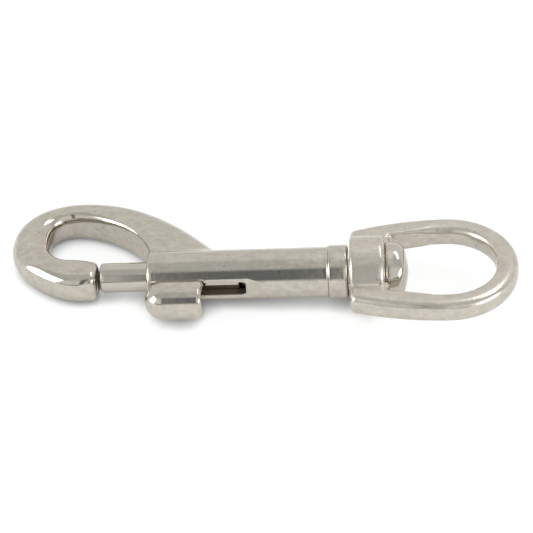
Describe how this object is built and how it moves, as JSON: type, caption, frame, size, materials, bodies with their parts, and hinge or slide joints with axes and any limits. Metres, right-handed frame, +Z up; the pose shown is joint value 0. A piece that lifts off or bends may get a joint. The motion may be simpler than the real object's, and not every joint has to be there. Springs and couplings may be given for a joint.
{
  "type": "swivel snap hook",
  "caption": "Bolt snap with a fixed hook, a sprung sliding bolt worked by a thumb knob, and a round swivel eye.",
  "frame": {"origin": "centre of the swivel eye's opening, on the barrel's axis", "axes": "+X from the hook to the eye along the barrel's axis, +Y towards the hook's spine, away from the thumb knob, +Z up from the surface it lies on"},
  "size_m": [0.1025, 0.0356, 0.014],
  "materials": {
    "cast_stainless": "tumbled and polished investment casting",
    "turned_stainless": "polished",
    "spring_wire": "drawn wire"
  },
  "bodies": {
    "body": {"hook_body": "cast_stainless", "swivel_pin": "turned_stainless", "spring": "spring_wire"},
    "bolt": {"bolt": "turned_stainless", "thumb_knob": "cast_stainless"},
    "eye": {"swivel_eye": "cast_stainless"}
  },
  "joints": [
    {"name": "bolt_slide", "type": "slide", "parent": "body", "child": "bolt", "axis": [1, 0, 0], "range_m": [0, 0.0096], "stiffness_N_per_m": 500, "springref_m": -0.008, "deforming": ["spring"]},
    {"name": "eye_swivel", "type": "hinge", "parent": "body", "child": "eye", "pos_m": [-0.0158, 0, 0], "axis": [1, 0, 0], "continuous": true}
  ]
}
